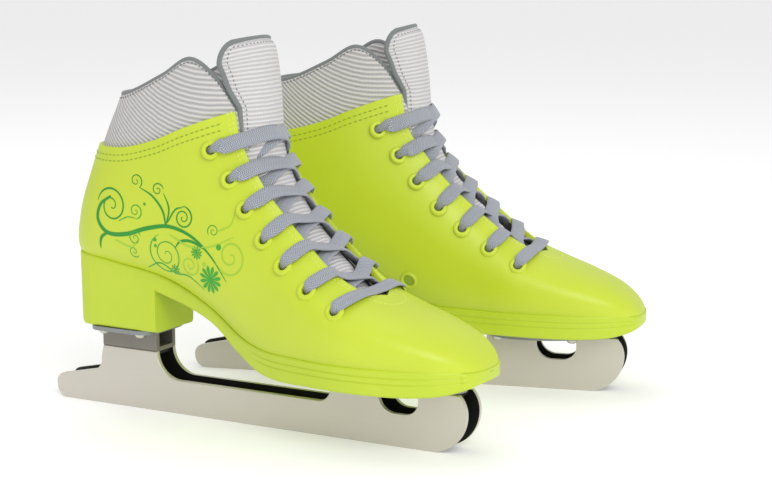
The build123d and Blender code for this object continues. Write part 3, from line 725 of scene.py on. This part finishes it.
# ---------------------------------------------------------------- liner and collar
# Padded lining of ribbed grey cloth, the inner boot. It stands above the shell as a collar, whose rim is
# bound with darker woven piping and sewn down.
COLLAR_EDGE = smooth_line(((-110, 166), (-90, 168), (-64, 169.5), (-40, 179.5), (-23, 188.5), (-9, 179),
                           (0.5, 163), (14, 140)))
LINER_COLUMNS = 110
LINER_S = np.concatenate([np.linspace(2, 11, 40), np.linspace(11.05, 18, 200)])
OUTER_ROWS = 70
TUBE_SIDES = 12


def ridges(tree, source, step):
    """Even waves from 0 to 1 along a coordinate, one to a step in millimetres."""
    turn = add_node(tree, "ShaderNodeMath", {"operation": "MULTIPLY"}, {0: source, 1: 2 * pi / step})
    wave = add_node(tree, "ShaderNodeMath", {"operation": "SINE"}, {0: turn.outputs[0]})
    return add_node(tree, "ShaderNodeMath", {"operation": "MULTIPLY_ADD"},
                    {0: wave.outputs[0], 1: 0.5, 2: 0.5})


def ribbed_cloth(name, light, dark, pitch, depth):
    """Ribbed lining cloth: fine raised ribs across the piece, crossed by much finer threads, with painted
    shade in the hollows between the ribs.
    """
    made, tree, shader = material(name, light, roughness=0.85, sheen_weight=0.25, sheen_roughness=0.5)
    uv = add_node(tree, "ShaderNodeUVMap", {"uv_map": "cloth"})
    drift = add_node(tree, "ShaderNodeTexNoise", None,
                     {"Vector": uv.outputs["UV"], "Scale": 0.12, "Detail": 2.0})
    sway = add_node(tree, "ShaderNodeVectorMath", {"operation": "MULTIPLY_ADD"},
                    {0: drift.outputs["Color"], 1: (0.8, 0.8, 0.0), 2: uv.outputs["UV"]})
    split = add_node(tree, "ShaderNodeSeparateXYZ", None, {"Vector": sway.outputs[0]})
    ribs = ridges(tree, split.outputs["Y"], pitch)
    threads = ridges(tree, split.outputs["X"], pitch * 0.42)
    height = add_node(tree, "ShaderNodeMath", {"operation": "MULTIPLY_ADD"},
                      {0: threads.outputs[0], 1: 0.22, 2: ribs.outputs[0]})
    # Painted shade: the hollows between the ribs take the darker colour.
    shade(tree, shader, ribs.outputs[0], dark, light)
    emboss(tree, shader, height.outputs[0], 0.8, depth)
    return made


# The darker colour of each cloth is painted shade for its rib hollows.
COLLAR_CLOTH = ribbed_cloth("ribbed grey lining cloth", "#DAD6D4", "#ABA9AA", 2.5, 0.6)
# Woven tape and spun thread: darker than the cloth, matt, with a faint pale fuzz.
BINDING = material("grey woven binding", "#777B7B", roughness=0.8, sheen_weight=0.2)[0]
GREY_THREAD = material("grey sewing thread", "#77797E", roughness=0.7)[0]


def liner_layer(inset):
    """Grid of one face of the liner, and where each column meets the rim."""
    grid = wall_grid(LINER_S, LINER_COLUMNS, inset, -1.5)
    return grid, cut_at_edge(LINER_S, grid, COLLAR_EDGE)


def liner_mesh():
    """Outer face up to the rim, the rounded rim, and the inner face down into the foot."""
    outer, cut_out = liner_layer(2.9)
    inner, cut_in = liner_layer(5.9)
    rows, uvs = [], []
    cut = (cut_out + cut_in) / 2
    low = np.minimum(11.0, cut - 0.5)
    for v in np.linspace(0, 1, OUTER_ROWS):
        puff = 1.5 * np.sin(pi * np.clip((v - 0.25) / 0.75, 0, 1)) ** 0.7
        row = []
        for c in range(LINER_COLUMNS):
            s = low[c] + (cut[c] - low[c]) * v
            p, q = column_point(LINER_S, outer, c, s), column_point(LINER_S, inner, c, s)
            row.append(p + (p - q) / np.linalg.norm(p - q) * (puff - 0.4))
        rows.append(row)
    for v in np.linspace(1, 0, 60):
        row = []
        for c in range(LINER_COLUMNS):
            s = 2.0 + (cut[c] - 2.0) * v
            row.append(column_point(LINER_S, inner, c, s))
        rows.append(row)
    rows = np.array(rows)
    run = np.linspace(-150, 150, LINER_COLUMNS)
    for row in rows:
        height = row[:, 2] - 0.0085 * np.minimum(row[:, 0] + 12, 0) ** 2
        uvs += list(zip(run, height))
    return rows, uvs


liner_rows, liner_uvs = liner_mesh()
for piece in pair("collar_and_lining", liner_rows.reshape(-1, 3), grid_faces(len(liner_rows), LINER_COLUMNS),
                  COLLAR_CLOTH, nodes=("liner",), uvs=liner_uvs, merge=0):
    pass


def tube_rows(line, radius):
    """Round tube along a line that runs nearly level."""
    rows = []
    for spot, along in zip(line, tangents(line)):
        across = unit(np.cross(along, (0.0, 0.0, 1.0)))
        normal = np.cross(across, along)
        rows.append([spot + across * cos(t) * radius + normal * sin(t) * radius
                     for t in np.linspace(0, 2 * pi, TUBE_SIDES, endpoint=False)])
    return np.array(rows)


rim = liner_rows[OUTER_ROWS - 1:OUTER_ROWS + 1].mean(0)
keep = rim[:, 2] > 163.0
rim = rim[keep] + (0, 0, 0.3)
piping = tube_rows(rim, 1.45)
pair("collar_binding", piping.reshape(-1, 3), tube_faces(len(rim), TUBE_SIDES), BINDING,
     nodes=("collar_piping",))
sew("collar_overstitch", [liner_rows[OUTER_ROWS - 2][keep]], 2.2, 1.5, 0.35, GREY_THREAD)

# ---------------------------------------------------------------- footbed
# Loose foam footbed with a dark brushed top, laid in the bottom of the lining. Its edge is cupped a little.
# Brushed cloth on foam: dark and without any gloss.
FOOTBED = material("dark brushed footbed", "#55585C", roughness=0.95, sheen_weight=0.3)[0]
BED = smooth_line(((-97, 90), (-80, 86.5), (-46, 79), (-18, 66.5), (4, 53), (22, 46.5), (42, 44.5),
                   (100, 44.5), (118, 45.5)), 6)
BED_COLUMNS = 14
BED_FOAM = 3.5


def bed_mesh():
    """Top of the footbed and its rounded edge."""
    rows = []
    for x, z in BED:
        tapered = np.sqrt(np.clip(1 - np.clip((x - 84) / 36, 0, 1) ** 2, 0.02, 1))
        heel = np.sqrt(np.clip(1 - np.clip((-72 - x) / 26, 0, 1) ** 2, 0.02, 1))
        outer = np.interp(x, SOLE_OUTER[:, 0], SOLE_OUTER[:, 1]) * 0.72 * tapered * heel
        inner = np.interp(x, SOLE_INNER[:, 0], SOLE_INNER[:, 1]) * 0.72 * tapered * heel
        rows.append([(x, outer + (inner - outer) * t, z + 2.2 * (2 * t - 1) ** 4 + 0.6)
                     for t in np.linspace(0, 1, BED_COLUMNS)])
    return np.array(rows)


def bed_thickness(piece, side):
    """Foam thickness of the footbed."""
    foam = piece.modifiers.new("foam", "SOLIDIFY")
    foam.thickness = BED_FOAM * 0.001
    foam.offset = -1
    bake(piece)


bed_rows = bed_mesh()
for piece in pair("soft_footbed", bed_rows.reshape(-1, 3), grid_faces(len(bed_rows), BED_COLUMNS), FOOTBED,
                  nodes=("insole",), finish=bed_thickness):
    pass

# ---------------------------------------------------------------- tongue
# Long padded tongue of ribbed cloth under the laces, sewn in at the throat's end. Its free top stands above
# the shell, arched and bound with piping.
# Its darker colour is painted shade for the rib hollows.
TONGUE_CLOTH = ribbed_cloth("ribbed grey tongue cloth", "#DEDBDA", "#BBB9BB", 2.1, 0.5)
TONGUE_LINE = smooth_line(((79.0, 66.0), (70, 72.0), (56, 84.5), (43, 98.0), (31.5, 111.0), (22.8, 123.5),
                           (16.6, 136), (13.6, 148), (12.6, 160), (12.0, 169), (10.8, 180), (9.2, 190),
                           (6.6, 200)), 12)
TONGUE_COLUMNS = 41
BOUND_ROWS = 60


def tongue_mesh():
    """Front and back faces of the tongue, row by row up the instep."""
    tangent = tangents(TONGUE_LINE)
    run = run_along(TONGUE_LINE)
    left = run[-1] - run
    rows, uvs = [], []
    for k, (x, z) in enumerate(TONGUE_LINE):
        nx, nz = tangent[k][1], -tangent[k][0]
        half = np.interp(run[k], (0, 20, 60, 110, 125, 135, 150, run[-1]),
                         (15, 20, 20, 18.8, 19.2, 23.8, 27.3, 27.8))
        corner = np.sqrt(np.clip(1 - np.clip((13 - left[k]) / 13.2, 0, 1) ** 2, 0.0, 1)) * 0.42 + 0.58
        half = half * corner if left[k] < 13 else half
        curve = np.interp(run[k], (0, 40, 110, run[-1]), (36, 32, 26, 26.5))
        offset = np.interp(z, (60, 100, 150, 170), (-5.5, -3.5, -0.5, 0))
        thick = 6.5 * np.clip(left[k] / 4.0, 0.35, 1) * np.clip(run[k] / 8.0, 0.3, 1)
        front, back = [], []
        for u in np.linspace(-1, 1, TONGUE_COLUMNS):
            arc = u * half / curve
            y = curve * sin(arc) + offset
            sink = curve * (1 - cos(arc))
            pad = thick * (1 - abs(u) ** 6 * 0.85) / 2
            puff = 0.5 * sin(run[k] * 0.42) * (1 - u * u) * (left[k] > 45) * (run[k] > 20)
            fx, fz = x - nx * sink, z - nz * sink
            front.append((fx + nx * (pad - 3.2 + puff), y, fz + nz * (pad - 3.2 + puff)))
            back.append((fx - nx * (pad + 3.2), y, fz - nz * (pad + 3.2)))
        rows.append(front + back[::-1])
        uvs += [(u * half, run[k]) for u in np.linspace(-1, 1, TONGUE_COLUMNS)]
        uvs += [(u * half, run[k]) for u in np.linspace(1, -1, TONGUE_COLUMNS)]
    return np.array(rows), uvs


tongue_rows, tongue_uvs = tongue_mesh()
around = tongue_rows.shape[1]
tongue_faces = grid_faces(len(tongue_rows), around, True)
for row in (0, len(tongue_rows) - 1):
    tongue_faces += [tuple(row * around + c for c in (k, k + 1, around - 2 - k, around - 1 - k))
                     for k in range(TONGUE_COLUMNS - 1)]
for piece in pair("padded_tongue", tongue_rows.reshape(-1, 3), tongue_faces, TONGUE_CLOTH,
                  "tongue", ("tongue", "tongue_top"), tongue_uvs, merge=0):
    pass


def tube_free(line, radius):
    """Round tube along a line, turned as little as possible from ring to ring."""
    tangent = tangents(line)
    normal = np.cross(tangent[0], (1.0, 0.0, 0.0))
    rows = []
    for spot, along in zip(line, tangent):
        normal = unit(normal - along * np.dot(normal, along))
        side = np.cross(along, normal)
        rows.append([spot + (normal * cos(t) + side * sin(t)) * radius
                     for t in np.linspace(0, 2 * pi, TUBE_SIDES, endpoint=False)])
    return np.array(rows)


bound = range(len(TONGUE_LINE) - BOUND_ROWS, len(TONGUE_LINE))
edge_line = [tongue_rows[k, [0, around - 1]].mean(0) for k in bound]
edge_line += [tongue_rows[-1, [c, around - 1 - c]].mean(0) for c in range(1, TONGUE_COLUMNS - 1)]
edge_line += [tongue_rows[k, [TONGUE_COLUMNS - 1, TONGUE_COLUMNS]].mean(0) for k in reversed(bound)]
binding = tube_free(np.array(edge_line), 1.35)
pair("tongue_binding", binding.reshape(-1, 3), tube_faces(len(binding), TUBE_SIDES), BINDING,
     "tongue", ("tongue_piping",), merge=0)
seam = [tongue_rows[k, 2] for k in bound[:-6]]
seam += [tongue_rows[-4, c] for c in range(3, TONGUE_COLUMNS - 3)]
seam += [tongue_rows[k, TONGUE_COLUMNS - 3] for k in reversed(bound[:-6])]
sew("tongue_overstitch", [np.array(seam)], 2.3, 1.3, 0.33, GREY_THREAD, "tongue")

# ---------------------------------------------------------------- lace
# One flat woven lace. Each strand leaves a lace hole to the outside, crosses the tongue and dives under the
# opposite facing to the next hole. The outer strands lie on top, and a straight bar joins the lowest pair.
FACING_ANGLES = (46.0, 50.0, 53.0, 55.5, 57.5, 62.0, 66.0)
LACE_WIDTH = 8.0
LACE_THICKNESS = 1.3
YARN_STEP = 1.1
LACE_SECTION = ((-1, 0), (-0.93, 0.8), (-0.6, 1.0), (0, 1.08), (0.6, 1.0), (0.93, 0.8), (1, 0), (0.93, -0.8),
                (0.6, -1), (0, -1), (-0.6, -1), (-0.93, -0.8))


def woven_lace(name, light, dark):
    """Flat woven lace: slanting yarns that meet in a row of small V shapes down the middle, with painted
    shade in the grooves between them.
    """
    made, tree, shader = material(name, light, roughness=0.8, sheen_weight=0.3, sheen_roughness=0.5)
    uv = add_node(tree, "ShaderNodeUVMap", {"uv_map": "cloth"})
    split = add_node(tree, "ShaderNodeSeparateXYZ", None, {"Vector": uv.outputs["UV"]})
    fold = add_node(tree, "ShaderNodeMath", {"operation": "PINGPONG"}, {0: split.outputs["X"], 1: 2.0})
    slant = add_node(tree, "ShaderNodeMath", {"operation": "MULTIPLY_ADD"},
                     {0: fold.outputs[0], 1: 0.8, 2: split.outputs["Y"]})
    height = ridges(tree, slant.outputs[0], YARN_STEP)
    # Painted shade: the grooves between the yarns take the darker colour.
    shade(tree, shader, height.outputs[0], dark, light)
    emboss(tree, shader, height.outputs[0], 0.8, 0.3)
    return made


# The paler colour is the lace as lit, the darker one painted shade for the grooves between its yarns.
LACE = woven_lace("blue-grey woven lace", "#B6B9C1", "#7C828D")


lace_points, lace_faces, lace_uvs = [], [], []


def add_strap(stops):
    """Adds a flat strand through stops, each a station, an angle in radians, a depth and a width share."""
    centre = smooth_line([form(s, a, inset) for s, a, inset, share in stops], 8)
    outer = smooth_line([form(s, a, inset - 3) for s, a, inset, share in stops], 8)
    shares = smooth_line([(share, 0) for s, a, inset, share in stops], 8)[:, 0]
    out = outer - centre
    tangent = tangents(centre)
    run = run_along(centre)
    first = len(lace_points)
    for k, spot in enumerate(centre):
        across = unit(np.cross(out[k], tangent[k]))
        normal = np.cross(tangent[k], across)
        half = LACE_WIDTH / 2 * shares[k]
        tall = LACE_THICKNESS / 2 * (1 + 0.5 * (1 - shares[k]))
        lace_points.extend(spot + across * half * a + normal * tall * b for a, b in LACE_SECTION)
        lace_uvs.extend((LACE_WIDTH / 2 * a, run[k]) for a, b in LACE_SECTION)
    lace_faces.extend(tuple(first + v for v in face) for face in tube_faces(len(centre), len(LACE_SECTION)))


for k in range(len(EYELETS) - 1):
    (station, angle), (below, below_angle) = EYELETS[k], EYELETS[k + 1]
    drop = below - station
    for flank, over in ((-1, 3.0), (1, 4.5)):
        add_strap((
            (station - 0.02 * drop, side_angle(angle - 2, flank), 2.6, 0.45),
            (station, side_angle(angle + 1.5, flank), -0.3, 0.5),
            (station + 0.04 * drop, side_angle(angle + 6, flank), -1.7, 0.8),
            (station + 0.13 * drop, side_angle((angle + FACING_ANGLES[k]) / 2, flank), -1.6, 1.0),
            (station + 0.25 * drop, side_angle(FACING_ANGLES[k] + 3, flank), -0.9, 1.0),
            (station + 0.42 * drop, side_angle(78, flank), over - 0.9, 1.0),
            (station + 0.58 * drop, side_angle(78, -flank), over - 0.3, 1.0),
            (station + 0.76 * drop, side_angle(FACING_ANGLES[k + 1] + 2, -flank), 3.6, 1.0),
            (station + 0.90 * drop, side_angle(below_angle + 10, -flank), 3.9, 0.9),
            (below, side_angle(below_angle, -flank), 3.4, 0.5)))
station, angle = EYELETS[-1]
half_bar = ((0, angle - 2, 2.6, 0.45), (0, angle + 2, -0.9, 0.55), (0.06, angle + 10, -2.3, 0.95),
            (0.2, 66, -1.3, 1.0), (0.24, 85, 0.3, 1.0))
add_strap([(station - back, side_angle(turn, flank), depth, share)
           for flank in (-1, 1) for back, turn, depth, share in half_bar[::-flank]])
pair("woven_lace", lace_points, lace_faces, LACE, nodes=("lace",), uvs=lace_uvs, merge=0)

# ---------------------------------------------------------------- runners, plates and fasteners
# Twin blade bent from one ground steel sheet, held by an enamelled plate under the forefoot, and by a
# zinc-plated bracket and a plate under the heel. Nickel screws and rivets. Small bevels catch the light.
BLADE_GAP_HALF = 6.2
# Satin enamel and dull zinc give broad soft highlights, bright nickel gives small sharp ones.
ENAMEL = material("grey satin enamel", "#8E9191", metallic=0.55, roughness=0.4)[0]
BRACKET = material("dull zinc plate", "#85817A", metallic=0.6, roughness=0.45)[0]
NICKEL = material("bright nickel plate", "#D0CDC6", metallic=1.0, roughness=0.22)[0]


def blade_steel(side, word):
    """Ground steel: pale and matt on the outer faces, with painted shade making the faces between the two
    blades near black.
    """
    made, tree, shader = material(word + " ground blade steel", "#C4C0B8", metallic=0.6, roughness=0.42)
    spot = add_node(tree, "ShaderNodeTexCoord")
    middle = to_row([(0, 0, 0)], side)[0]
    across = unit(to_row([(0, 1, 0)], side)[0] - middle)
    shift = add_node(tree, "ShaderNodeVectorMath", {"operation": "SUBTRACT"},
                     {0: spot.outputs["Object"], 1: middle.tolist()})
    depth = add_node(tree, "ShaderNodeVectorMath", {"operation": "DOT_PRODUCT"},
                     {0: shift.outputs[0], 1: across.tolist()})
    size = add_node(tree, "ShaderNodeMath", {"operation": "ABSOLUTE"}, {0: depth.outputs["Value"]})
    inner = add_node(tree, "ShaderNodeMath", {"operation": "LESS_THAN"},
                     {0: size.outputs[0], 1: BLADE_GAP_HALF * 0.001})
    grain = add_node(tree, "ShaderNodeMapping", None,
                     {"Vector": spot.outputs["Object"], "Scale": (60, 60, 900)})
    noise = add_node(tree, "ShaderNodeTexNoise", None,
                     {"Vector": grain.outputs[0], "Scale": 1.0, "Detail": 3.0})
    rough = add_node(tree, "ShaderNodeMapRange", None,
                     {"Value": noise.outputs["Fac"], "To Min": 0.34, "To Max": 0.52})
    tree.links.new(rough.outputs[0], shader.inputs["Roughness"])
    # Painted shade: everything within the gap between the blades is coloured near black.
    shade(tree, shader, inner.outputs[0], "#CDC8BE", "#2A2A29")
    return made


def dress(node, finish, bevel):
    """Gives a metal node its finish and rounds its sharp edges."""
    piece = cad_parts[node]
    piece.data.materials.clear()
    piece.data.materials.append(finish)
    if bevel:
        edge = piece.modifiers.new("edge", "BEVEL")
        edge.width = bevel * 0.001
        edge.segments = 2
        edge.angle_limit = radians(40)
        edge.harden_normals = True


for side, word in SIDES:
    dress(word + "_runner", blade_steel(side, word), 0.25)
    dress(word + "_toe_plate", ENAMEL, 0.3)
    dress(word + "_heel_plate", ENAMEL, 0.3)
    dress(word + "_heel_bracket", BRACKET, 0.0)
    for metal in ("toe_screws", "heel_screws", "toe_rivets", "heel_rivets"):
        dress(word + "_" + metal, NICKEL, 0.15)

# ---------------------------------------------------------------- floor, light and camera
# White studio floor, a large soft key light from the front right, a weaker one from above and a pale sky.
floor_mesh = bpy.data.meshes.new("floor")
floor_mesh.from_pydata([(-30, -30, 0), (30, -30, 0), (30, 30, 0), (-30, 30, 0)], [], [(0, 1, 2, 3)])
floor = bpy.data.objects.new("floor", floor_mesh)
bpy.context.collection.objects.link(floor)
floor_mesh.materials.append(material("white studio floor", "#F4F4F4", roughness=0.9,
                                     emission_color=(1, 1, 1, 1), emission_strength=0.2)[0])

world = bpy.data.worlds.new("soft studio")
bpy.context.scene.world = world
world.use_nodes = True
sky = world.node_tree.nodes["Background"]
sky.inputs["Color"].default_value = (1, 1, 1, 1)
sky.inputs["Strength"].default_value = 0.7


def soft_light(name, where, aim, size, power):
    """Square soft box that faces a point."""
    lamp = bpy.data.lights.new(name, "AREA")
    lamp.size = size
    lamp.energy = power
    stand = bpy.data.objects.new(name, lamp)
    stand.location = where
    stand.rotation_euler = (Vector(aim) - Vector(where)).to_track_quat("-Z", "Y").to_euler()
    bpy.context.collection.objects.link(stand)


soft_light("key light", (0.95, -1.0, 1.0), (0.04, 0.0, 0.08), 0.9, 11)
soft_light("top light", (-0.5, 0.4, 1.5), (0.0, 0.0, 0.1), 1.2, 5)

camera_data = bpy.data.cameras.new("camera")
camera_data.lens = 89.06
camera_data.sensor_width = 36.0
camera = bpy.data.objects.new("camera", camera_data)
camera.location = (0.3957, -0.9326, 0.2604)
camera.rotation_euler = (radians(80.21), 0, radians(21.7))
bpy.context.collection.objects.link(camera)
bpy.context.scene.camera = camera
bpy.context.scene.view_settings.view_transform = "Standard"
